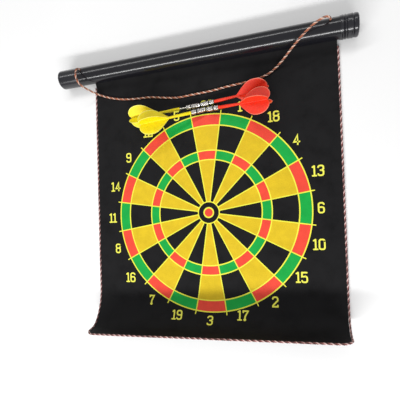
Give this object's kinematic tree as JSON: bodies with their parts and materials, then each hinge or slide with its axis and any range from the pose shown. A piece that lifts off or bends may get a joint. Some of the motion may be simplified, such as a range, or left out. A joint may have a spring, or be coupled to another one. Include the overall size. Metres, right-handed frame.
{
  "type": "magnetic dartboard",
  "caption": "Roll-up magnetic dartboard lying flat: printed flexible target on a black roller tube with a hanging cord, and magnetic darts with moulded flights.",
  "frame": {"origin": "on the board's back face, straight under the bull", "axes": "+X to the right across the target, +Y up the target to the roller tube, +Z out of the printed face"},
  "size_m": [0.449, 0.4196, 0.0518],
  "materials": {
    "backing_fabric": "matt woven backing",
    "magnetic_rubber": "matt filled rubber",
    "printed_fabric": "printed flock, black ground",
    "inner_plastic": "matt",
    "rod_plastic": "gloss",
    "cap_plastic": "satin gloss",
    "trim_cord": "twisted two-ply",
    "hanging_cord": "twisted three-ply",
    "magnet_plating": "nickel plated",
    "barrel_metal": "bright knurled",
    "stem_metal": "bright drawn",
    "yellow_plastic": "moulded, satin",
    "red_plastic": "moulded, satin"
  },
  "bodies": {
    "board": {"back_sheet": "backing_fabric", "magnetic_core": "magnetic_rubber", "front_sheet": "printed_fabric", "hem_rod": "inner_plastic", "roller_tube": "rod_plastic", "end_cap_left": "cap_plastic", "end_cap_right": "cap_plastic", "edge_cord": "trim_cord", "hanging_cord": "hanging_cord", "cord_knot_left": "hanging_cord", "cord_knot_right": "hanging_cord"},
    "yellow_front_dart": {"yellow_front_magnet": "magnet_plating", "yellow_front_barrel": "barrel_metal", "yellow_front_stem": "stem_metal", "yellow_front_flight": "yellow_plastic"},
    "yellow_rear_dart": {"yellow_rear_magnet": "magnet_plating", "yellow_rear_barrel": "barrel_metal", "yellow_rear_stem": "stem_metal", "yellow_rear_flight": "yellow_plastic"},
    "red_front_dart": {"red_front_magnet": "magnet_plating", "red_front_barrel": "barrel_metal", "red_front_stem": "stem_metal", "red_front_flight": "red_plastic"},
    "red_rear_dart": {"red_rear_magnet": "magnet_plating", "red_rear_barrel": "barrel_metal", "red_rear_stem": "stem_metal", "red_rear_flight": "red_plastic"}
  },
  "joints": [
    {"name": "yellow_front_pull_off", "type": "slide", "parent": "board", "child": "yellow_front_dart", "axis": [0, 0, 1], "range_m": [0, 0.15]},
    {"name": "yellow_rear_pull_off", "type": "slide", "parent": "board", "child": "yellow_rear_dart", "axis": [-0.9884, -0.0952, 0.1184], "range_m": [0, 0.12]},
    {"name": "red_front_pull_off", "type": "slide", "parent": "board", "child": "red_front_dart", "axis": [0, 0, 1], "range_m": [0, 0.15]},
    {"name": "red_rear_pull_off", "type": "slide", "parent": "board", "child": "red_rear_dart", "axis": [0.992, 0.0433, 0.1184], "range_m": [0, 0.12]}
  ]
}
